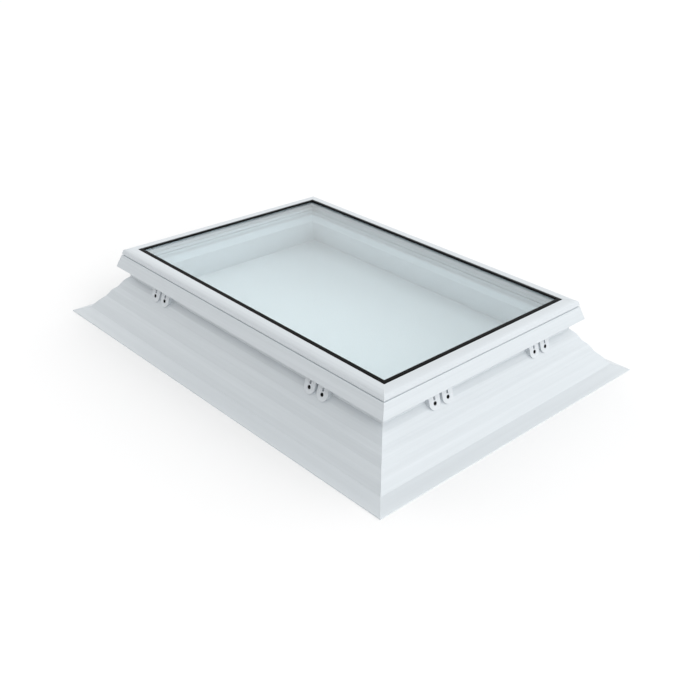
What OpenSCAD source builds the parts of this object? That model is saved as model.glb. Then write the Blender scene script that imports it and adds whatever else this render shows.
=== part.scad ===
// Fixed flat-roof skylight: a flared hollow PVC kerb, a hollow PVC frame with a drip skirt, glazing
// beads, a sealed double-glazed unit, and screwed fixing brackets that hold the frame to the kerb.
//
// Every profile is drawn as a section in (u, z). u is measured outwards from the sight rectangle,
// the inner edge of the glazing beads, and z is measured upwards from the underside of the foot.

/* [Glazing] */
// Length of the glass panes
pane_l = 918; // [600:1:1800]
// Width of the glass panes
pane_w = 618; // [500:1:1400]
// How far the panes reach under the glazing beads
pane_bite = 6; // [5:0.5:10]
// Thickness of the outer pane
outer_pane_t = 4; // [3:1:8]
// Height of the sealed cavity between the panes
cavity_h = 16; // [10:1:20]
// Thickness of each sheet of the laminated inner pane
inner_sheet_t = 3; // [3:1:5]
// Thickness of the plastic interlayer in the inner pane
interlayer_t = 0.8; // [0.4:0.4:1.6]
// Width of the hollow spacer bar
spacer_w = 6.5; // [5:0.5:8]
// Wall of the spacer bar
spacer_wall = 0.5; // [0.4:0.1:1]
// Thickness of the butyl strip above and below the spacer bar
butyl_t = 0.4; // [0.3:0.1:0.8]
// Width of the butyl strips
butyl_w = 4.5; // [3:0.5:6]
// Depth of the edge sealant behind the spacer bar
sealant_w = 5; // [3:0.5:8]
// Length of each arm of the spacer's corner keys
key_arm = 25; // [15:1:40]

/* [Kerb] */
// Height of the kerb from the underside of its foot
kerb_h = 148; // [130:1:260]
// Height of the upright part at the top of the kerb
upright_h = 37; // [32:1:60]
// Distance from the sight line in to the kerb's inner face
kerb_inset = 5; // [2:0.5:8]
// Outside of the sloping wall at its top, from the sight line
slope_top_u = 20; // [18:0.5:28]
// Horizontal run of the sloping wall
slope_run = 80; // [50:1:120]
// Thickness of the sloping wall
slope_t = 18; // [14:1:26]
// Height of the bend between the wall and the foot
bend_h = 15.2; // [12:0.1:22]
// Width of the foot outside the bend
foot_w = 35.5; // [20:0.5:60]
// Thickness of the foot at its outer edge
foot_edge_t = 2.5; // [2:0.5:5]
// Depth of the shallow bands along the outside of the wall
band_depth = 2.4; // [0.5:0.1:3]
// Outer wall of the kerb profile
kerb_wall = 3; // [2.5:0.1:4]
// Inner wall of the kerb profile
kerb_liner = 2.5; // [2:0.1:3.5]
// Webs between the chambers of the kerb profile
kerb_web = 2; // [1.5:0.1:3]

/* [Frame] */
// Height of the weather seal between the kerb and the frame
kerb_seal_h = 3; // [2:0.5:5]
// Thickness of the ledge that carries the glazing
ledge_t = 4; // [3:0.5:6]
// Thickness of the gasket under the glazing
inner_gasket_h = 3; // [2:0.5:5]
// Gap between the pane's edge and the frame, filled by the setting blocks
edge_gap = 4; // [3:0.5:6]
// Height of the frame body
frame_body_h = 19; // [18:0.5:24]
// Outside of the frame at its top edge, from the sight line
frame_top_u = 30.7; // [29:0.1:36]
// How far the drip skirt hangs below the frame body
skirt_drop = 14.6; // [8:0.1:20]
// How far the skirt leans out for each millimetre that it drops
skirt_lean = 0.357; // [0.1:0.001:0.5]
// Wall of the drip skirt
skirt_t = 3; // [2.5:0.1:4]
// Walls of the frame profile
frame_wall = 2.5; // [2:0.1:3]
// Thickness of the catch rib inside the skirt
rib_t = 2; // [1.5:0.1:3]
// Distance from the sight line to the tip of the catch rib
rib_tip_u = 29; // [28:0.5:31]

/* [Glazing bead] */
// Height of the bead's inner edge over the glass
bead_nose_h = 3; // [2.8:0.1:4]
// Thickness of the bead's lip at its inner edge
nose_t = 1.9; // [1.5:0.1:2.1]
// Outer edge of the bead's level top, from the sight line
bead_level_u = 16.5; // [12:0.5:19]
// Fall of the level top from its inner to its outer edge
level_fall = 0.4; // [0:0.1:0.5]
// Outer edge of the bead's sloping top, from the sight line
bead_flat_u = 24.2; // [22:0.1:26]
// Height of the bead's inner edge above the outer edge of its sloping top
bead_fall = 2.8; // [1:0.1:3]
// Foot of the upper chamfer, from the sight line
chamfer_u = 27.6; // [26:0.1:30]
// Drop of the upper chamfer
chamfer_h = 2.9; // [2:0.1:5]
// Outer edge of the bead's underside, from the sight line
bead_edge_u = 30.5; // [29:0.1:33]
// Height of the shadow groove between the bead and the frame
groove_h = 2.7; // [1.5:0.1:4]
// Depth of the shadow groove
groove_d = 3.4; // [3:0.1:6]
// Walls of the bead profile
bead_wall = 2.2; // [1.8:0.1:2.6]
// Distance from the frame's rebate to the wall of the clip groove
clip_seat = 3.7; // [3:0.1:4.5]
// Thickness of the bead's clip leg
clip_t = 3.4; // [2.5:0.1:3.6]
// Length of the bead's clip leg
clip_l = 7.5; // [6:0.5:8]

/* [Gaskets] */
// Width of the outer gasket on the glass
gasket_w = 11; // [8:0.5:14]
// How far the outer gasket's inner edge stands over the bead's inner edge
gasket_crown = 1.3; // [0:0.1:2]
// Radius of the inner edge of the outer gasket
gasket_r = 1.2; // [0.5:0.1:2]
// Width of the groove between the outer gasket's crown and the bead
gasket_gap = 2; // [1:0.5:4]
// Width of the gasket under the glazing
inner_gasket_w = 7; // [5:0.5:8]
// How far the gasket under the glazing stands back from the ledge's edge
inner_gasket_back = 2; // [1:0.5:4]
// Width of the weather seal
kerb_seal_w = 12; // [8:0.5:16]
// How far the weather seal stands back from the kerb's inner face
kerb_seal_back = 5; // [4:0.5:6]

/* [Setting blocks] */
// Length of a setting block
block_l = 80; // [50:5:120]
// Height of a setting block
block_h = 12; // [8:0.5:14]
// Distance from a pane's corner to the middle of the nearest block
block_from_corner = 130; // [100:5:200]

/* [Fixing brackets] */
// Distance between the two screws of a bracket
screw_pitch = 41; // [36:1:50]
// Radius of each lobe of a bracket
lobe_r = 16.5; // [12:0.5:17.5]
// Height of a lobe's centre above its screw
lobe_lift = 2; // [0:0.5:4]
// Thickness of the hook that catches the frame's rib
hook_t = 3; // [2:0.5:5]
// Length of the bracket's top bar
bracket_l = 92; // [84:1:110]
// Thickness of the bracket's upright web
bracket_web = 8.5; // [6:0.5:9]
// Height of the line where the lobes begin, above the top of the sloping wall
lobe_rise = 15; // [12:0.5:18]
// How far the lobes reach down past the wall's first ridge
lobe_reach = 13.2; // [8:0.1:15]
// Thickness of the lobes at their toe
toe_t = 1.5; // [1:0.1:3]
// Height of the top of the sloping wall above the screws
screw_fall = 3.5; // [1:0.5:6]
// Fillet between the outer sides of the lobes and the top bar
lobe_fillet = 8; // [2:0.5:9]
// Width of the core pocket above each screw
pocket_w = 5.5; // [4:0.5:8]
// Length of the core pocket up the lobe
pocket_l = 8; // [5:0.5:9]
// Depth of the core pocket
pocket_d = 6; // [4:0.5:7]
// Distance from the screw's middle up to the core pocket
pocket_from = 7.5; // [7:0.5:9]
// Middle of the left front bracket, from the skylight's centre line
front_bracket_left = 310; // [150:1:380]
// Middle of the right front bracket, from the skylight's centre line
front_bracket_right = 284; // [150:1:380]
// Middle of the near bracket on the short side, from the skylight's centre line
side_bracket_near = 159; // [100:1:230]
// Middle of the far bracket on the short side, from the skylight's centre line
side_bracket_far = 185; // [100:1:230]

/* [Screws] */
// Diameter of the screw head
head_d = 8.6; // [8:0.2:10]
// Height of the screw head
head_h = 3.2; // [2.5:0.1:4]
// Diameter of the round driver recess in the head
recess_d = 4.6; // [3:0.1:5]
// Depth of the driver recess
recess_h = 2.2; // [1.5:0.1:2.6]
// Diameter of the shank
shank_d = 4.2; // [3.5:0.1:5]
// Length of the shank with its point
shank_l = 16; // [14:0.5:18]
// Length of the point
point_l = 4; // [3:0.5:6]
// Depth of the screw's seat below the lobe's face
seat_h = 2.6; // [2:0.1:3]

/* [Edges] */
// Radius of the sharp outer edges of the plastic profiles
edge_r = 0.8; // [0.3:0.1:1]
// Radius of the turns in the kerb's faces
turn_r = 1.5; // [1:0.5:5]

/* [Clearances] */
// Clearance of the bead's clip leg in the frame's groove
clip_clear = 0.3; // [0.1:0.1:0.5]
// Clearance of a corner key inside the spacer bars
key_clear = 0.2; // [0.1:0.1:0.4]
// Clearance of the bracket's hook between the frame and its rib
hook_clear = 0.2; // [0.1:0.1:0.5]
// Radial clearance of a screw in the bracket and the kerb
screw_clear = 0.1; // [0.05:0.05:0.3]
// Radial clearance around a screw head in its seat
head_clear = 0.5; // [0.4:0.1:1]
// Clearance between the bracket's hook and the skirt
hook_back = 1.2; // [0.5:0.1:2]

/* [Hidden] */
$fn = 48;
SIDES = ["front", "right", "back", "left"];
PLACES = ["a", "b"];

// Heights of the stack, from the foot up
frame_z = kerb_h + kerb_seal_h;
ledge_z = frame_z + ledge_t;
glass_z = ledge_z + inner_gasket_h;
interlayer_z = glass_z + inner_sheet_t;
upper_sheet_z = interlayer_z + interlayer_t;
cavity_z = upper_sheet_z + inner_sheet_t;
outer_pane_z = cavity_z + cavity_h;
glass_top_z = outer_pane_z + outer_pane_t;
nose_z = glass_top_z + bead_nose_h;
frame_top_z = frame_z + frame_body_h;
skirt_bottom_z = frame_z - skirt_drop;

// Sight rectangle, which u is measured from
sight_x = pane_l / 2 - pane_bite;
sight_y = pane_w / 2 - pane_bite;

// Sloping wall of the kerb: t runs down it from its top, off stands out from its mean face
slope_top_z = kerb_h - upright_h;
slope_a = atan2(slope_top_z - bend_h, slope_run);
slope_l = slope_run / cos(slope_a);
function slope_pt(t, off) = [slope_top_u + t * cos(slope_a) + off * sin(slope_a),
                             slope_top_z - t * sin(slope_a) + off * cos(slope_a)];
// Shares of the wall's length at which the bands turn, hollows and ridges by turns
HOLLOWS = [0, 0.32, 0.625];
RIDGES = [0.135, 0.45, 0.785];
upright_u = slope_pt(0, -band_depth)[0];
bend_u = slope_top_u + slope_run;
foot_u = bend_u + foot_w;
// Inner face: upright, then parallel to the outside
lining_u = slope_pt(0, -slope_t)[0];
lining_z = slope_pt(0, -slope_t)[1];
inner_bend_z = lining_z + (lining_u + kerb_inset) * tan(slope_a);
inner_foot_u = lining_u + lining_z / tan(slope_a);

// Frame and bead
rebate_u = pane_bite + edge_gap;
function skirt_u(z) = frame_top_u + skirt_lean * (frame_top_z - z);
skirt_run = skirt_t * sqrt(1 + skirt_lean * skirt_lean);
rib_z = frame_z - hook_t - 2 * hook_clear;
clip_u = rebate_u + clip_seat + clip_clear;
clip_gap_u = clip_u + clip_t + clip_clear;
bead_back_u = pane_bite + edge_gap / 2;
bead_flat_z = nose_z - bead_fall;
bead_base_z = frame_top_z + groove_h;
gasket_top_z = nose_z + gasket_crown;

// Brackets and screws
lobe_top_u = upright_u + bracket_web;
lobe_top_z = slope_top_z + lobe_rise;
toe_at = RIDGES[0] * slope_l + lobe_reach;
toe_off = -band_depth * lobe_reach / ((HOLLOWS[1] - RIDGES[0]) * slope_l);
toe_back = slope_pt(toe_at, toe_off);
toe = slope_pt(toe_at, toe_off + toe_t);
lobe_a = atan2(lobe_top_z - toe[1], toe[0] - lobe_top_u);
screw_z = slope_top_z - screw_fall;
screw_u = lobe_top_u + (lobe_top_z - screw_z) / tan(lobe_a);

// Reach of the mitre wedges past the widest profile
wedge_margin = 20;
wedge_in = kerb_inset + gasket_w + wedge_margin;
wedge_out = foot_u + wedge_margin;

// Points of a section whose corners [u, z, r] are rounded to radius r, or left sharp at 0
ARC_STEPS = 4;
function unit(v) = v / norm(v);
function turned(a) = a > 180 ? a - 360 : a < -180 ? a + 360 : a;
function corner(a, b, c, r) =
    r == 0 ? [b] :
    let (u = unit(a - b), v = unit(c - b), half = acos(u * v) / 2, mid = b + unit(u + v) * r / sin(half),
         p = b + u * r / tan(half) - mid, q = b + v * r / tan(half) - mid,
         first = atan2(p[1], p[0]), step = turned(atan2(q[1], q[0]) - first) / ARC_STEPS)
    [for (i = [0:ARC_STEPS]) mid + r * [cos(first + step * i), sin(first + step * i)]];
function flat(p) = [p[0], p[1]];
function rounded(pts) = [for (i = [0:len(pts) - 1], q = corner(flat(pts[(i + len(pts) - 1) % len(pts)]),
    flat(pts[i]), flat(pts[(i + 1) % len(pts)]), pts[i][2])) q];
function with_r(p, r) = [p[0], p[1], r];

function side_turn(side) = side == "back" ? 0 : side == "left" ? 90 : side == "front" ? 180 : 270;
function is_long(side) = side == "front" || side == "back";
function reach_of(side) = is_long(side) ? sight_y : sight_x;
function run_of(side) = is_long(side) ? sight_x : sight_y;

// A straight length of the child section on one side, mitred at both ends
module mitred(side) {
    reach = reach_of(side);
    run = run_of(side);
    half = run + wedge_out;
    rotate([0, 0, side_turn(side)])
        intersection() {
            rotate([90, 0, 90])
                translate([reach, 0, -half])
                    linear_extrude(2 * half) children();
            translate([0, 0, -1])
                linear_extrude(gasket_top_z + 10)
                    polygon([[-(run - wedge_in), reach - wedge_in], [run - wedge_in, reach - wedge_in],
                             [run + wedge_out, reach + wedge_out], [-(run + wedge_out), reach + wedge_out]]);
        }
}

// An endless ring of the child section, its four corners joined
module endless() {
    for (side = SIDES) mitred(side) children();
}

// A rectangle of a section, from (u0, z0) to (u1, z1)
module strip(u0, z0, u1, z1) {
    translate([u0, z0]) square([u1 - u0, z1 - z0]);
}

// Moves the children, modelled outside the back side, to a side and a place along it
module on_side(side, along) {
    rotate([0, 0, side_turn(side)])
        translate([side == "front" || side == "right" ? -along : along, reach_of(side), 0]) children();
}

// Kerb section: flared hollow wall with shallow bands outside and a wedge foot
module kerb_section() {
    difference() {
        polygon(rounded(concat(
            [[-kerb_inset, kerb_h, edge_r], [-kerb_inset, inner_bend_z, turn_r], [inner_foot_u, 0, 0],
             [foot_u, 0, 0], [foot_u, foot_edge_t, edge_r], [bend_u, bend_h, turn_r]],
            [for (i = [len(RIDGES) - 1:-1:0], k = [0:1])
                k == 0 ? with_r(slope_pt(RIDGES[i] * slope_l, 0), turn_r)
                       : with_r(slope_pt(HOLLOWS[i] * slope_l, -band_depth), i == 0 ? 0 : turn_r)],
            [[upright_u, kerb_h, edge_r]])));
        upright_chamber();
        for (i = [0:len(HOLLOWS) - 1]) slope_chamber(i);
        foot_chamber();
    }
}

// Chamber in the upright part
module upright_chamber() {
    strip(-kerb_inset + kerb_liner, inner_bend_z + kerb_web, upright_u - kerb_wall, kerb_h - kerb_wall);
}

// Chamber behind one band of the sloping wall, between two webs square to the wall
module slope_chamber(i) {
    last = i == len(HOLLOWS) - 1;
    t0 = HOLLOWS[i] * slope_l + (i == 0 ? kerb_wall : kerb_web / 2);
    t1 = last ? slope_l - kerb_wall : HOLLOWS[i + 1] * slope_l - kerb_web / 2;
    out0 = -kerb_wall - band_depth * (1 - (t0 / slope_l - HOLLOWS[i]) / (RIDGES[i] - HOLLOWS[i]));
    end = last ? 1 : HOLLOWS[i + 1];
    out1 = -kerb_wall - band_depth * (last ? 0 : (t1 / slope_l - RIDGES[i]) / (end - RIDGES[i]));
    polygon([slope_pt(t0, out0), slope_pt(RIDGES[i] * slope_l, -kerb_wall), slope_pt(t1, out1),
             slope_pt(t1, kerb_liner - slope_t), slope_pt(t0, kerb_liner - slope_t)]);
}

// Chamber in the thick root of the foot
module foot_chamber() {
    fall = (bend_h - foot_edge_t) / foot_w;
    roof_z = bend_h - kerb_wall;
    tip_u = bend_u + (roof_z - kerb_wall - kerb_web) / fall;
    polygon([[inner_foot_u + kerb_wall, kerb_liner], [tip_u, kerb_liner],
             [tip_u, kerb_liner + kerb_web], [bend_u, roof_z]]);
}

module kerb(side) {
    color("whitesmoke")
        difference() {
            mitred(side) kerb_section();
            for (p = PLACES) on_side(side, bracket_at(side, p)) screw_holes(shank_d / 2 + screw_clear);
        }
}

// Weather seal between the kerb's top and the frame
module kerb_seal() {
    u0 = kerb_seal_back - kerb_inset;
    color("dimgray") endless() strip(u0, kerb_h, u0 + kerb_seal_w, frame_z);
}

// Frame section: glazing ledge, hollow body, drip skirt and the catch rib inside the skirt
module frame_section() {
    inner_u = skirt_u(frame_z) - skirt_run;
    rib_low = rib_z - rib_t;
    difference() {
        polygon(rounded([
            [-kerb_inset, frame_z, edge_r], [inner_u, frame_z, 0], [skirt_u(rib_z) - skirt_run, rib_z, 0],
            [rib_tip_u, rib_z, 0], [rib_tip_u, rib_low, 0], [skirt_u(rib_low) - skirt_run, rib_low, 0],
            [skirt_u(skirt_bottom_z) - skirt_run, skirt_bottom_z, edge_r],
            [skirt_u(skirt_bottom_z), skirt_bottom_z, edge_r], [frame_top_u, frame_top_z, edge_r],
            [rebate_u, frame_top_z, 0], [rebate_u, ledge_z, 0], [-kerb_inset, ledge_z, edge_r]]));
        // Groove for the bead's clip leg
        strip(clip_u - clip_clear, frame_top_z - clip_l - clip_clear, clip_gap_u, frame_top_z + 1);
        lower_frame_chamber();
        upper_frame_chamber();
    }
}

// Chamber under the clip groove
module lower_frame_chamber() {
    low = frame_z + frame_wall;
    high = frame_top_z - clip_l - clip_clear - frame_wall;
    u0 = rebate_u + frame_wall;
    polygon([[u0, low], [skirt_u(low) - skirt_run, low], [skirt_u(high) - skirt_run, high], [u0, high]]);
}

// Chamber outside the clip groove
module upper_frame_chamber() {
    low = frame_top_z - clip_l - clip_clear;
    high = frame_top_z - frame_wall;
    u0 = clip_gap_u + frame_wall;
    polygon([[u0, low], [skirt_u(low) - skirt_run, low], [skirt_u(high) - skirt_run, high], [u0, high]]);
}

module frame(side) {
    color("white") mitred(side) frame_section();
}

// Gasket between the ledge and the glazing
module inner_gasket() {
    u0 = inner_gasket_back - kerb_inset;
    color("lightgray") endless() strip(u0, ledge_z, u0 + inner_gasket_w, glass_z);
}

// A flat sheet of the panes' size
module sheet(z, t) {
    translate([-pane_l / 2, -pane_w / 2, z]) cube([pane_l, pane_w, t]);
}

module inner_sheet_lower() {
    color("azure", 0.4) sheet(glass_z, inner_sheet_t);
}

module inner_interlayer() {
    color("ghostwhite", 0.4) sheet(interlayer_z, interlayer_t);
}

module inner_sheet_upper() {
    color("azure", 0.4) sheet(upper_sheet_z, inner_sheet_t);
}

module outer_pane() {
    color("lightcyan", 0.4) sheet(outer_pane_z, outer_pane_t);
}

// Spacer bar between the panes: a thin box tube standing inside the edge sealant
spacer_u = pane_bite - sealant_w - spacer_w;
module spacer(side) {
    color("silver")
        mitred(side)
            difference() {
                strip(spacer_u, cavity_z + butyl_t, spacer_u + spacer_w, outer_pane_z - butyl_t);
                strip(spacer_u + spacer_wall, cavity_z + butyl_t + spacer_wall,
                      spacer_u + spacer_w - spacer_wall, outer_pane_z - butyl_t - spacer_wall);
            }
}

// Plastic corner keys pushed into the ends of the spacer bars
module spacer_corner_keys() {
    u0 = spacer_u + spacer_wall + key_clear;
    w = spacer_w - 2 * (spacer_wall + key_clear);
    z0 = cavity_z + butyl_t + spacer_wall + key_clear;
    h = cavity_h - 2 * (butyl_t + spacer_wall + key_clear);
    color("gray")
        for (mx = [0, 1], my = [0, 1])
            mirror([mx, 0, 0]) mirror([0, my, 0])
                translate([sight_x + u0, sight_y + u0, z0])
                    difference() {
                        translate([-key_arm, -key_arm, 0]) cube([key_arm + w, key_arm + w, h]);
                        translate([-key_arm - 1, -key_arm - 1, -1]) cube([key_arm + 1, key_arm + 1, h + 2]);
                    }
}

module butyl(z) {
    u0 = spacer_u + (spacer_w - butyl_w) / 2;
    color("black") endless() strip(u0, z, u0 + butyl_w, z + butyl_t);
}

// Sealant that fills the edge of the unit outside the spacer bars
module edge_sealant() {
    color("black") endless() strip(spacer_u + spacer_w, cavity_z, pane_bite, outer_pane_z);
}

// Blocks that centre the glazing in the frame, two on each side
module setting_blocks() {
    color("dimgray")
        for (side = SIDES, k = [-1, 1])
            on_side(side, k * (run_of(side) + pane_bite - block_from_corner))
                translate([-block_l / 2, pane_bite, ledge_z]) cube([block_l, edge_gap, block_h]);
}

// Black gasket on the glass: a crown that rises inwards, with a thin foot under the bead's lip
module outer_gasket() {
    lip_z = nose_z - nose_t;
    color("black")
        endless()
            polygon(rounded([
                [-gasket_w, glass_top_z, 0], [pane_bite, glass_top_z, 0], [pane_bite, lip_z, 0],
                [-gasket_gap, lip_z, 0], [-gasket_gap, nose_z, gasket_r / 2],
                [-gasket_w, gasket_top_z, gasket_r]]));
}

// Bead section: hollow cap with a chamfered outside, a lip over the glass and a clip leg
module bead_section() {
    lip_z = nose_z - nose_t;
    in_u = bead_back_u + bead_wall;
    in_z = bead_flat_z - bead_wall + bead_fall * (bead_flat_u - in_u) / bead_flat_u;
    out_u = bead_edge_u - groove_d;
    difference() {
        polygon(rounded([
            [bead_back_u, frame_top_z, 0], [clip_u, frame_top_z, 0], [clip_u, frame_top_z - clip_l, 0],
            [clip_u + clip_t, frame_top_z - clip_l, 0], [clip_u + clip_t, frame_top_z, 0],
            [out_u, frame_top_z, 0], [out_u, bead_base_z, 0], [bead_edge_u, bead_base_z, edge_r],
            [chamfer_u, bead_flat_z - chamfer_h, edge_r], [bead_flat_u, bead_flat_z, edge_r],
            [bead_level_u, nose_z - level_fall, edge_r], [0, nose_z, edge_r], [0, lip_z, 0],
            [bead_back_u, lip_z, 0]]));
        polygon([[in_u, bead_base_z], [out_u - bead_wall / 2, bead_base_z],
                 [out_u, bead_base_z + bead_wall], [out_u, bead_flat_z - chamfer_h],
                 [bead_flat_u - bead_wall / 2, bead_flat_z - bead_wall], [in_u, in_z]]);
    }
}

module bead(side) {
    color("white") mitred(side) bead_section();
}

// Middle of a bracket along its side, positive to the right or the far end
function bracket_at(side, place) =
    is_long(side) ? (place == "a" ? -front_bracket_left : front_bracket_right)
                  : (place == "a" ? -side_bracket_near : side_bracket_far);

// Places the child on the line of each of a bracket's screws, +Z out of the lobe's face
module at_screws() {
    for (k = [-1, 1])
        translate([k * screw_pitch / 2, screw_u, screw_z]) rotate([-lobe_a, 0, 0]) children();
}

module screw_holes(r) {
    at_screws() translate([0, 0, -shank_l - seat_h - 1]) cylinder(h = shank_l + seat_h + 4, r = r);
}

// Outline of a bracket seen from outside: a top bar and two round lobes with filleted roots
module bracket_outline() {
    lobe_z = screw_z + lobe_lift;
    arch_r = screw_pitch / 2 - lobe_r;
    translate([-bracket_l / 2, lobe_top_z]) square([bracket_l, frame_z - hook_clear - lobe_top_z]);
    for (k = [-1, 1])
        translate([k * screw_pitch / 2, 0]) {
            translate([0, lobe_z]) circle(lobe_r);
            translate([-lobe_r, lobe_z]) square([2 * lobe_r, lobe_top_z - lobe_z]);
        }
    for (k = [-1, 1]) translate([k * (screw_pitch / 2 + lobe_r), lobe_top_z]) root_fillet(k, lobe_fillet);
    for (k = [-1, 1]) translate([-k * arch_r, lobe_top_z]) root_fillet(k, arch_r);
}

// Fillet under the top bar, beside a lobe's edge at x = 0, on the side that k points to
module root_fillet(k, r) {
    difference() {
        translate([k < 0 ? -r : 0, -r]) square(r);
        translate([k * r, -r]) circle(r);
    }
}

// Fixing bracket: hooks over the catch rib, runs down the kerb's upright and is screwed to the wall
module bracket(side, place) {
    hook_z = rib_z + hook_clear;
    hook_u = skirt_u(rib_z) - skirt_run - hook_back;
    color("white")
        on_side(side, bracket_at(side, place))
            difference() {
                intersection() {
                    rotate([90, 0, 90])
                        translate([0, 0, -bracket_l / 2])
                            linear_extrude(bracket_l)
                                polygon([[upright_u, frame_z - hook_clear], slope_pt(0, -band_depth),
                                         slope_pt(RIDGES[0] * slope_l, 0), toe_back, toe,
                                         [lobe_top_u, lobe_top_z], [lobe_top_u, hook_z], [hook_u, hook_z],
                                         [hook_u, frame_z - hook_clear]]);
                    rotate([90, 0, 0])
                        translate([0, 0, -foot_u])
                            linear_extrude(foot_u) bracket_outline();
                }
                screw_holes(shank_d / 2 + screw_clear);
                at_screws() screw_seat();
                at_screws() core_pocket();
            }
}

// Round seat of a screw head
module screw_seat() {
    translate([0, 0, -seat_h]) cylinder(h = seat_h + bracket_web, r = head_d / 2 + head_clear);
}

// Pocket that keeps the moulding's walls even, up the lobe from the screw
module core_pocket() {
    translate([-pocket_w / 2, -pocket_from - pocket_l, -pocket_d])
        cube([pocket_w, pocket_l, pocket_d + bracket_web]);
}

// Pan-head screw with a round driver recess, standing on its seat with its point along -Z
module screw() {
    head_r = head_d / 2;
    tip_r = 0.4;
    dome_r = 2;
    rotate_extrude()
        polygon(rounded([
            [0, -shank_l, 0], [tip_r, -shank_l, 0], [shank_d / 2, point_l - shank_l, 0], [shank_d / 2, 0, 0],
            [head_r, 0, 0], [head_r, head_h, dome_r], [recess_d / 2, head_h, 0],
            [recess_d / 2, head_h - recess_h, 0], [0, head_h - recess_h, 0]]));
}

module bracket_screws(side) {
    color("silver")
        for (p = PLACES)
            on_side(side, bracket_at(side, p))
                at_screws() translate([0, 0, -seat_h]) screw();
}

for (s = SIDES) {
    kerb(s);
    frame(s);
    spacer(s);
    bead(s);
    bracket(s, "a");
    bracket(s, "b");
    bracket_screws(s);
}
kerb_seal();
inner_gasket();
inner_sheet_lower();
inner_interlayer();
inner_sheet_upper();
butyl(cavity_z);  // butyl_lower
spacer_corner_keys();
butyl(outer_pane_z - butyl_t);  // butyl_upper
edge_sealant();
outer_pane();
setting_blocks();
outer_gasket();
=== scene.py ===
import math

import bmesh
import bpy
from mathutils import Matrix, Vector


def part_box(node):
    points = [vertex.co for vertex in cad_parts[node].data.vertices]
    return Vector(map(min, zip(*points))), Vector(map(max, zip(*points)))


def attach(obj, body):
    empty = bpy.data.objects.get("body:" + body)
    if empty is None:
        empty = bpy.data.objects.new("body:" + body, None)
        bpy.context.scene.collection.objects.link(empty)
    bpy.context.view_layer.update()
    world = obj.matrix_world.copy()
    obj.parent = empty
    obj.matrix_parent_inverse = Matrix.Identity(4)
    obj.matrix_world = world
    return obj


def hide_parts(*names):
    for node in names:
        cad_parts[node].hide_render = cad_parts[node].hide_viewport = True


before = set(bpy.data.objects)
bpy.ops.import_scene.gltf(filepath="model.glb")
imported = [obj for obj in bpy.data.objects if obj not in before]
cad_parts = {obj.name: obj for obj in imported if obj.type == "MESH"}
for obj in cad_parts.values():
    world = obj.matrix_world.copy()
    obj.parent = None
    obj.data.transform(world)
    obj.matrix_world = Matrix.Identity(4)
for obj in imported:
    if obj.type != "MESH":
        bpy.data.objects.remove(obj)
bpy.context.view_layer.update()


# Kerb: the flared upstand that the skylight stands on. Four lengths of hollow extruded uPVC are cut at
# 45 degrees, and their ends are melted together on hot plates. The melt is pressed flat and leaves a
# low ridge along each corner.
MM = 0.001
SIDES = ("front", "right", "back", "left")


def linear(hex_colour):
    """The linear colour of an sRGB hex value."""
    parts = [int(hex_colour[i:i + 2], 16) / 255 for i in (1, 3, 5)]
    return [c / 12.92 if c <= 0.04045 else ((c + 0.055) / 1.055) ** 2.4 for c in parts] + [1.0]


def empty_material(name):
    """A material with no nodes yet."""
    material = bpy.data.materials.new(name)
    material.use_nodes = True
    material.node_tree.nodes.clear()
    return material


def add_node(tree, kind, sockets=None, links=None, **settings):
    """Adds a node, with values for its sockets and links into them by name or number."""
    made = tree.nodes.new(kind)
    for key, value in settings.items():
        setattr(made, key, value)
    for key, value in (sockets or {}).items():
        made.inputs[key].default_value = value
    for key, source in (links or {}).items():
        tree.links.new(source, made.inputs[key])
    return made


def extruded_white(name, colour, shade, roughness):
    """White uPVC as it leaves the die: satin, with fine lines and faint streaks along the profile, one
    above the other."""
    line_gap, line_length, line_depth = 1.5 * MM, 1000 * MM, 0.05 * MM
    streak_gap, streak_length = 6 * MM, 500 * MM
    material = empty_material(name)
    tree = material.node_tree
    place = add_node(tree, "ShaderNodeTexCoord").outputs["Object"]
    line_scale = (1 / line_length, 1 / line_length, 1 / line_gap)
    line_place = add_node(tree, "ShaderNodeMapping", {"Scale": line_scale}, {"Vector": place})
    lines = add_node(tree, "ShaderNodeTexNoise", {"Scale": 1.0, "Detail": 2.0},
                     {"Vector": line_place.outputs["Vector"]})
    streak_scale = (1 / streak_length, 1 / streak_length, 1 / streak_gap)
    streak_place = add_node(tree, "ShaderNodeMapping", {"Scale": streak_scale}, {"Vector": place})
    streaks = add_node(tree, "ShaderNodeTexNoise", {"Scale": 1.0, "Detail": 3.0},
                       {"Vector": streak_place.outputs["Vector"]})
    tint = add_node(tree, "ShaderNodeMix", {"A": linear(shade), "B": linear(colour)},
                    {"Factor": streaks.outputs["Fac"]}, data_type="RGBA")
    dull = add_node(tree, "ShaderNodeMapRange", {"To Min": roughness - 0.05, "To Max": roughness + 0.05},
                    {"Value": lines.outputs["Fac"]})
    furrows = add_node(tree, "ShaderNodeBump", {"Strength": 0.15, "Distance": line_depth},
                       {"Height": lines.outputs["Fac"]})
    plastic = add_node(tree, "ShaderNodeBsdfPrincipled", {"IOR": 1.53},
                       {"Base Color": tint.outputs["Result"], "Roughness": dull.outputs["Result"],
                        "Normal": furrows.outputs["Normal"]})
    add_node(tree, "ShaderNodeOutputMaterial", links={"Surface": plastic.outputs["BSDF"]})
    return material


def finish_nodes(names, material):
    """Gives CAD nodes one material all over."""
    for name in names:
        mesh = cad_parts[name].data
        mesh.materials.clear()
        mesh.materials.append(material)


def add_piece(name, shell, material, stands_for=()):
    """Makes a piece of the object from a bmesh, with its place in its mesh."""
    mesh = bpy.data.meshes.new(name)
    shell.to_mesh(mesh)
    shell.free()
    piece = bpy.data.objects.new(name, mesh)
    bpy.context.scene.collection.objects.link(piece)
    mesh.materials.append(material)
    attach(piece, "root")
    if stands_for:
        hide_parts(*stands_for)
    return piece


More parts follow.
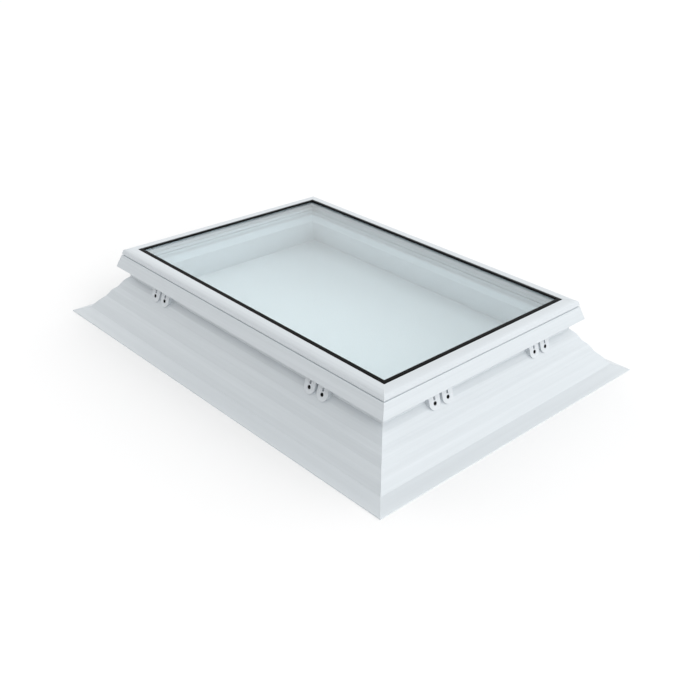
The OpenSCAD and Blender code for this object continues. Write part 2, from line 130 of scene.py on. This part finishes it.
white_pvc = extruded_white("white_upvc_extruded", "#D3D9DD", "#C3C9CD", 0.34)
finish_nodes([f"kerb_{side}" for side in SIDES], white_pvc)

# The signs of x and y at the four corners, and how far out each mitre is met.
CORNERS = ((1, -1), (1, 1), (-1, 1), (-1, -1))
MITRE_INSET = 6 * MM
gasket_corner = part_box("outer_gasket")[1]
mitre_x, mitre_y = gasket_corner.x - MITRE_INSET, gasket_corner.y - MITRE_INSET


def weld_ridges(name, part, width, height, sliver):
    """Ridges along the four mitres of a ring of profiles: slices of the ring, swelled at the joint and
    sunk at their rims. Edges shorter than a sliver are closed up."""
    sink, same_point, along_mitre = 0.03 * MM, 0.01 * MM, 0.999
    ridges = bmesh.new()
    for sx, sy in CORNERS:
        slice_ = bmesh.new()
        for side in SIDES:
            slice_.from_mesh(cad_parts[f"{part}_{side}"].data)
        joint = Vector((sx * mitre_x, sy * mitre_y, 0))
        across = Vector((sx, -sy, 0)).normalized()
        on_joint = [f for f in slice_.faces if abs(f.normal.dot(across)) > along_mitre]
        bmesh.ops.delete(slice_, geom=on_joint, context="FACES")
        bmesh.ops.remove_doubles(slice_, verts=slice_.verts, dist=same_point)
        for way in (-1, 1):
            bmesh.ops.bisect_plane(slice_, geom=slice_.verts[:] + slice_.edges[:] + slice_.faces[:],
                                   plane_co=joint + across * way * width / 2, plane_no=across * way,
                                   clear_outer=True)
        far = [v for v in slice_.verts if v.co.x * sx < 0 or v.co.y * sy < 0]
        bmesh.ops.delete(slice_, geom=far, context="VERTS")
        slice_.normal_update()
        for v in slice_.verts:
            v.normal_update()
        moves = []
        for v in slice_.verts:
            off = abs((v.co - joint).dot(across))
            rise = height if off < width / 4 else -sink
            moves.append((v, v.normal * rise))
        for v, move in moves:
            v.co += move
            v.co.z = max(v.co.z, 0)
        bmesh.ops.dissolve_degenerate(slice_, dist=sliver, edges=slice_.edges)
        for way in (-1, 1):
            rim = [e for e in slice_.edges if e.is_boundary
                   and all((v.co - joint).dot(across) * way > width / 4 for v in e.verts)]
            bmesh.ops.triangle_fill(slice_, use_beauty=True, edges=rim, normal=across * way)
        bmesh.ops.recalc_face_normals(slice_, faces=slice_.faces)
        made = bpy.data.meshes.new("slice")
        slice_.to_mesh(made)
        slice_.free()
        ridges.from_mesh(made)
        bpy.data.meshes.remove(made)
    return add_piece(name, ridges, white_pvc)


weld_ridges("kerb_welds", "kerb", 2.2 * MM, 0.5 * MM, 0.12 * MM)


# Weather seal: a strip of closed-cell foam rubber stuck on the kerb's top, squeezed by the frame. Its
# dark edge shows as a line between the two.
def soft_rubber(name, colour, shade, grain, roughness, sheen=0.5):
    """Matt rubber with a fine grain. Its bloom of wax and chalk takes the sheen off a bare surface."""
    material = empty_material(name)
    tree = material.node_tree
    place = add_node(tree, "ShaderNodeTexCoord").outputs["Object"]
    skin = add_node(tree, "ShaderNodeTexNoise", {"Scale": 1 / grain, "Detail": 4.0}, {"Vector": place})
    tint = add_node(tree, "ShaderNodeMix", {"A": linear(shade), "B": linear(colour)},
                    {"Factor": skin.outputs["Fac"]}, data_type="RGBA")
    worn = add_node(tree, "ShaderNodeMapRange", {"To Min": roughness - 0.08, "To Max": roughness + 0.08},
                    {"Value": skin.outputs["Fac"]})
    pits = add_node(tree, "ShaderNodeBump", {"Strength": 0.3, "Distance": 0.1 * MM},
                    {"Height": skin.outputs["Fac"]})
    rubber = add_node(tree, "ShaderNodeBsdfPrincipled", {"IOR": 1.5, "Specular IOR Level": sheen},
                      {"Base Color": tint.outputs["Result"], "Roughness": worn.outputs["Result"],
                       "Normal": pits.outputs["Normal"]})
    add_node(tree, "ShaderNodeOutputMaterial", links={"Surface": rubber.outputs["BSDF"]})
    return material


finish_nodes(["kerb_seal"], soft_rubber("foam_rubber_closed_cell", "#4A4C4F", "#3C3E41", 1.5 * MM, 0.85))


# Frame: four lengths of hollow extruded uPVC welded at the corners, with a ledge for the glass inside
# and a drip skirt outside that hangs over the kerb.
finish_nodes([f"frame_{side}" for side in SIDES], white_pvc)
weld_ridges("frame_welds", "frame", 1.8 * MM, 0.4 * MM, 0.01 * MM)

# Gasket under the glass: a pale soft strip between the ledge and the inner pane, so that no dark line
# shows from the room.
finish_nodes(["inner_gasket"], soft_rubber("thermoplastic_rubber_pale", "#D3D6D8", "#C9CDCF", 1.2 * MM, 0.6))


# Inner pane: two sheets of float glass with a clear film between them, bonded in an autoclave, so that
# broken glass stays up. The cut edges are ground off at 45 degrees.
def float_glass(name, tint):
    """Clear float glass with a polished face."""
    material = empty_material(name)
    tree = material.node_tree
    glass = add_node(tree, "ShaderNodeBsdfPrincipled",
                     {"Base Color": linear(tint), "Roughness": 0.0, "IOR": 1.52, "Transmission Weight": 1.0})
    add_node(tree, "ShaderNodeOutputMaterial", links={"Surface": glass.outputs["BSDF"]})
    return material


def cut_sheet(name, node, material, arris, below=0.0, above=0.0, film=None):
    """A cut sheet in the place of a CAD one, its edges ground, set back from a bonded face by a hair.
    Light meets no step at a face that the film is bonded to. The studio's light falls straight through
    the sheet, as daylight does through a real one."""
    low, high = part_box(node)
    low, high = low + Vector((0, 0, below)), high - Vector((0, 0, above))
    shell = bmesh.new()
    bmesh.ops.create_cube(shell, size=1)
    bmesh.ops.scale(shell, vec=high - low, verts=shell.verts)
    bmesh.ops.translate(shell, vec=(low + high) / 2, verts=shell.verts)
    if arris:
        bmesh.ops.bevel(shell, geom=shell.edges[:], offset=arris, segments=1, profile=0.5,
                        affect="EDGES", material=-1)
    sheet = add_piece(name, shell, material, [node])
    if film:
        level = 0.9
        sheet.data.materials.append(film)
        for face in sheet.data.polygons:
            if (below and face.normal.z < -level) or (above and face.normal.z > level):
                face.material_index = 1
    sheet.visible_shadow = False
    sheet.visible_diffuse = False
    return sheet


def clear_film(name, tint):
    """Polyvinyl butyral film, which vanishes between two sheets of glass."""
    material = empty_material(name)
    tree = material.node_tree
    film = add_node(tree, "ShaderNodeBsdfTransparent", {"Color": linear(tint)})
    add_node(tree, "ShaderNodeOutputMaterial", links={"Surface": film.outputs["BSDF"]})
    return material


film = clear_film("polyvinyl_butyral_film", "#FDFFFF")
HAIR = 0.02 * MM
ARRIS = 0.5 * MM
clear_glass = float_glass("float_glass_clear", "#F9FBFC")
cut_sheet("lower_laminate_sheet", "inner_sheet_lower", clear_glass, ARRIS, above=HAIR,
          film=film)
cut_sheet("upper_laminate_sheet", "inner_sheet_upper", clear_glass, ARRIS, below=HAIR,
          film=film)
cut_sheet("laminate_film", "inner_interlayer", film, 0.0, below=HAIR, above=HAIR)


# Edge of the sealed unit: hollow aluminium spacer bars filled with drying beads, which breathe through
# a line of slits, plugged together at the corners by plastic keys. Butyl strips stick the bars to
# both panes, and black sealant fills the rim outside them.
def spacer_aluminium(name, along, middle):
    """Mill-finish aluminium with a row of breathing slits along one axis at the bar's middle height. The
    slits are painted near-black: painted shade for the dark inside of the hollow bar.
    """
    pitch, slit_radius, squeeze = 7 * MM, 0.5 * MM, 0.45
    streak_gap, streak_length = 1.2 * MM, 500 * MM
    material = empty_material(name)
    tree = material.node_tree
    place = add_node(tree, "ShaderNodeTexCoord").outputs["Object"]
    streak_scale = (1 / streak_length, 1 / streak_length, 1 / streak_gap)
    drawn = add_node(tree, "ShaderNodeMapping", {"Scale": streak_scale}, {"Vector": place})
    streaks = add_node(tree, "ShaderNodeTexNoise", {"Scale": 1.0, "Detail": 3.0},
                       {"Vector": drawn.outputs["Vector"]})
    tint = add_node(tree, "ShaderNodeMix", {"A": linear("#B4B8BC"), "B": linear("#C9CDD0")},
                    {"Factor": streaks.outputs["Fac"]}, data_type="RGBA")
    # Across the bar nothing counts. Along it lengths are squeezed, which stretches the dots into slits.
    axis = 0 if along == "x" else 1
    only = [0.0, 0.0, 1.0]
    only[axis] = squeeze
    centred = add_node(tree, "ShaderNodeMapping", {"Location": (0.0, 0.0, -middle), "Scale": only},
                       {"Vector": place})
    reach = [1.0, 1.0, 1.0]
    reach[axis] = pitch * squeeze / 2
    wrapped = add_node(tree, "ShaderNodeVectorMath", {1: reach, 2: [-r for r in reach]},
                       {0: centred.outputs["Vector"]}, operation="WRAP")
    far = add_node(tree, "ShaderNodeVectorMath", links={0: wrapped.outputs["Vector"]}, operation="LENGTH")
    slit_shade_mask = add_node(tree, "ShaderNodeMath", {1: slit_radius}, {0: far.outputs["Value"]},
                    operation="LESS_THAN")
    # The slits are painted near-black, with no hole cut: painted shade for the dark inside of the hollow
    # bar.
    colour = add_node(tree, "ShaderNodeMix", {"B": linear("#26282A")},
                      {"Factor": slit_shade_mask.outputs["Value"], "A": tint.outputs["Result"]}, data_type="RGBA")
    dull = add_node(tree, "ShaderNodeMapRange", {"To Min": 0.32, "To Max": 0.45},
                    {"Value": streaks.outputs["Fac"]})
    metal = add_node(tree, "ShaderNodeBsdfPrincipled", {"Metallic": 1.0},
                     {"Base Color": colour.outputs["Result"], "Roughness": dull.outputs["Result"]})
    add_node(tree, "ShaderNodeOutputMaterial", links={"Surface": metal.outputs["BSDF"]})
    return material


bar_low, bar_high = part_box("spacer_front")
bar_middle = (bar_low.z + bar_high.z) / 2
finish_nodes(["spacer_front", "spacer_back"], spacer_aluminium("aluminium_spacer_long", "x", bar_middle))
finish_nodes(["spacer_left", "spacer_right"], spacer_aluminium("aluminium_spacer_short", "y", bar_middle))
black_sealant = soft_rubber("polysulfide_sealant_black", "#17181A", "#101113", 1.0 * MM, 0.6)
finish_nodes(["butyl_lower", "butyl_upper", "edge_sealant"], black_sealant)


def moulded_plastic(name, colour, shade, grain, roughness):
    """Injection-moulded plastic with a fine spark-eroded grain from its tool."""
    material = empty_material(name)
    tree = material.node_tree
    place = add_node(tree, "ShaderNodeTexCoord").outputs["Object"]
    eroded = add_node(tree, "ShaderNodeTexVoronoi", {"Scale": 1 / grain}, {"Vector": place})
    clouds = add_node(tree, "ShaderNodeTexNoise", {"Scale": 1 / (12 * MM), "Detail": 2.0}, {"Vector": place})
    tint = add_node(tree, "ShaderNodeMix", {"A": linear(shade), "B": linear(colour)},
                    {"Factor": clouds.outputs["Fac"]}, data_type="RGBA")
    dull = add_node(tree, "ShaderNodeMapRange", {"To Min": roughness - 0.05, "To Max": roughness + 0.05},
                    {"Value": clouds.outputs["Fac"]})
    pitted = add_node(tree, "ShaderNodeBump", {"Strength": 0.2, "Distance": 0.03 * MM},
                      {"Height": eroded.outputs["Distance"]})
    plastic = add_node(tree, "ShaderNodeBsdfPrincipled", {"IOR": 1.5},
                       {"Base Color": tint.outputs["Result"], "Roughness": dull.outputs["Result"],
                        "Normal": pitted.outputs["Normal"]})
    add_node(tree, "ShaderNodeOutputMaterial", links={"Surface": plastic.outputs["BSDF"]})
    return material


grey_nylon = moulded_plastic("nylon_grey_moulded", "#B4B6B8", "#A9ABAD", 0.6 * MM, 0.45)
finish_nodes(["spacer_corner_keys"], grey_nylon)


# Outer pane: one sheet of toughened glass, its edges ground so that it does not crack when it is heated
# and quenched.
cut_sheet("toughened_pane", "outer_pane", float_glass("toughened_glass_clear", "#E8EFF2"),
          0.6 * MM)

# Setting blocks: hard plastic packers pushed in around the glass, which keep its edge off the frame.
packer = moulded_plastic("polypropylene_packer_moulded", "#8A8F94", "#7F8489", 0.8 * MM, 0.5)
finish_nodes(["setting_blocks"], packer)

# Gasket on the glass: an endless black rubber frame, vulcanised at its corners, that seals the beads to
# the outer pane.
black_rubber = soft_rubber("ethylene_rubber_black", "#0B0C0D", "#070808", 1.4 * MM, 0.55, sheen=0.08)
finish_nodes(["outer_gasket"], black_rubber)

# Glazing beads: hollow uPVC caps clipped into the frame's groove, which press the gasket on the glass.
# Their ends are welded too, so the rain cannot get in at the corners.
finish_nodes([f"bead_{side}" for side in SIDES], white_pvc)
weld_ridges("bead_welds", "bead", 1.6 * MM, 0.35 * MM, 0.01 * MM)

# Fixing brackets: injection-moulded hooks that catch the rib inside the drip skirt and are screwed to
# the kerb, two on each side.
white_acetal = moulded_plastic("acetal_white_moulded", "#D0D5D9", "#CCD1D5", 0.6 * MM, 0.4)
finish_nodes([f"bracket_{side}_{place}" for side in SIDES for place in "ab"], white_acetal)


# Bracket screws: pan-head steel screws, phosphated and oiled black, driven through the brackets' lobes
# into the kerb's outer wall.
def phosphated_steel(name):
    """Steel with a black phosphate coat: nearly black, dull, with a fine crystal grain."""
    material = empty_material(name)
    tree = material.node_tree
    place = add_node(tree, "ShaderNodeTexCoord").outputs["Object"]
    crystals = add_node(tree, "ShaderNodeTexNoise", {"Scale": 1 / (0.8 * MM), "Detail": 3.0},
                        {"Vector": place})
    tint = add_node(tree, "ShaderNodeMix", {"A": linear("#0A0A0B"), "B": linear("#141416")},
                    {"Factor": crystals.outputs["Fac"]}, data_type="RGBA")
    dull = add_node(tree, "ShaderNodeMapRange", {"To Min": 0.55, "To Max": 0.7},
                    {"Value": crystals.outputs["Fac"]})
    coat = add_node(tree, "ShaderNodeBsdfPrincipled", {"IOR": 1.4, "Specular IOR Level": 0.25},
                    {"Base Color": tint.outputs["Result"], "Roughness": dull.outputs["Result"]})
    add_node(tree, "ShaderNodeOutputMaterial", links={"Surface": coat.outputs["BSDF"]})
    return material


finish_nodes([f"bracket_screws_{side}" for side in SIDES], phosphated_steel("phosphated_steel_black"))

# Floor: a pale studio floor, wide enough to run past every view.
FLOOR_REACH = 30.0
floor_shell = bmesh.new()
bmesh.ops.create_grid(floor_shell, x_segments=1, y_segments=1, size=FLOOR_REACH)
floor_mesh = bpy.data.meshes.new("floor")
floor_shell.to_mesh(floor_mesh)
floor_shell.free()
floor = bpy.data.objects.new("floor", floor_mesh)
bpy.context.scene.collection.objects.link(floor)
floor_paint = empty_material("studio_floor_paint")
floor_look = add_node(floor_paint.node_tree, "ShaderNodeBsdfPrincipled",
                      {"Base Color": linear("#F6F6F6"), "Roughness": 0.9, "Specular IOR Level": 0.0})
add_node(floor_paint.node_tree, "ShaderNodeOutputMaterial", links={"Surface": floor_look.outputs["BSDF"]})
floor_mesh.materials.append(floor_paint)

# Studio light: a white tent lit by soft glows, each one brightest along its own heading. Past the floor
# the tent's cloth shows plain white.
GLOWS = {  # Azimuth and height in degrees, focus, strength
    "right wall": (0.0, 25.0, 4.0, 2.70),
    "front overhead": (-90.0, 50.0, 8.0, 1.40),
    "back wall": (90.0, 20.0, 4.0, 1.90),
    "left wall": (180.0, 20.0, 4.0, 1.83),
}


def heading(azimuth, height):
    """The unit vector of an azimuth from the X axis and a height over the horizon, in degrees."""
    turn, rise = math.radians(azimuth), math.radians(height)
    return (math.cos(rise) * math.cos(turn), math.cos(rise) * math.sin(turn), math.sin(rise))


world = bpy.data.worlds.new("studio_tent")
bpy.context.scene.world = world
world.use_nodes = True
tent = world.node_tree
tent.nodes.clear()
ways = add_node(tent, "ShaderNodeTexCoord").outputs["Generated"]
light = None
for azimuth, height, focus, strength in GLOWS.values():
    facing = add_node(tent, "ShaderNodeVectorMath", {1: heading(azimuth, height)}, {0: ways},
                      operation="DOT_PRODUCT")
    ahead = add_node(tent, "ShaderNodeMath", {1: 0.0}, {0: facing.outputs["Value"]}, operation="MAXIMUM")
    lobe = add_node(tent, "ShaderNodeMath", {1: focus}, {0: ahead.outputs["Value"]}, operation="POWER")
    glow = add_node(tent, "ShaderNodeMath", {1: strength, 2: 0.0}, {0: lobe.outputs["Value"]},
                    operation="MULTIPLY_ADD")
    if light:
        tent.links.new(light, glow.inputs[2])
    light = glow.outputs["Value"]
glow_light = add_node(tent, "ShaderNodeBackground", {"Color": linear("#FFFFFF")}, {"Strength": light})
cloth = add_node(tent, "ShaderNodeBackground", {"Color": linear("#FFFFFF"), "Strength": 1.0})
seen = add_node(tent, "ShaderNodeLightPath").outputs["Is Camera Ray"]
tent_wall = add_node(tent, "ShaderNodeMixShader",
                     links={0: seen, 1: glow_light.outputs["Background"], 2: cloth.outputs["Background"]})
add_node(tent, "ShaderNodeOutputWorld", links={"Surface": tent_wall.outputs["Shader"]})

# Camera: it stands off the near corner and looks down on the skylight, with a slight roll.
AZIMUTH, ELEVATION, ROLL = (math.radians(a) for a in (45.819, 28.759, 1.736))
DISTANCE = 2.3216
AIM_RIGHT, AIM_UP = 0.0222, -0.1925
LENS, SENSOR = 47.74, 36.0
NEAREST, FARTHEST = 0.05, 200
right = Vector((math.cos(AZIMUTH), math.sin(AZIMUTH), 0))
back = Vector((math.sin(AZIMUTH) * math.cos(ELEVATION), -math.cos(AZIMUTH) * math.cos(ELEVATION),
               math.sin(ELEVATION)))
up = back.cross(right)
camera_x = right * math.cos(ROLL) + up * math.sin(ROLL)
camera_y = up * math.cos(ROLL) - right * math.sin(ROLL)
glazing_top = Vector((0, 0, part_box("bead_front")[1].z))
stand = glazing_top + camera_x * AIM_RIGHT + camera_y * AIM_UP + back * DISTANCE
lens = bpy.data.cameras.new("camera")
lens.lens, lens.sensor_width = LENS, SENSOR
lens.clip_start, lens.clip_end = NEAREST, FARTHEST
camera = bpy.data.objects.new("camera", lens)
bpy.context.scene.collection.objects.link(camera)
camera.matrix_world = Matrix.Translation(stand) @ Matrix((camera_x, camera_y, back)).transposed().to_4x4()
bpy.context.scene.camera = camera
bpy.context.scene.view_settings.view_transform = "Standard"
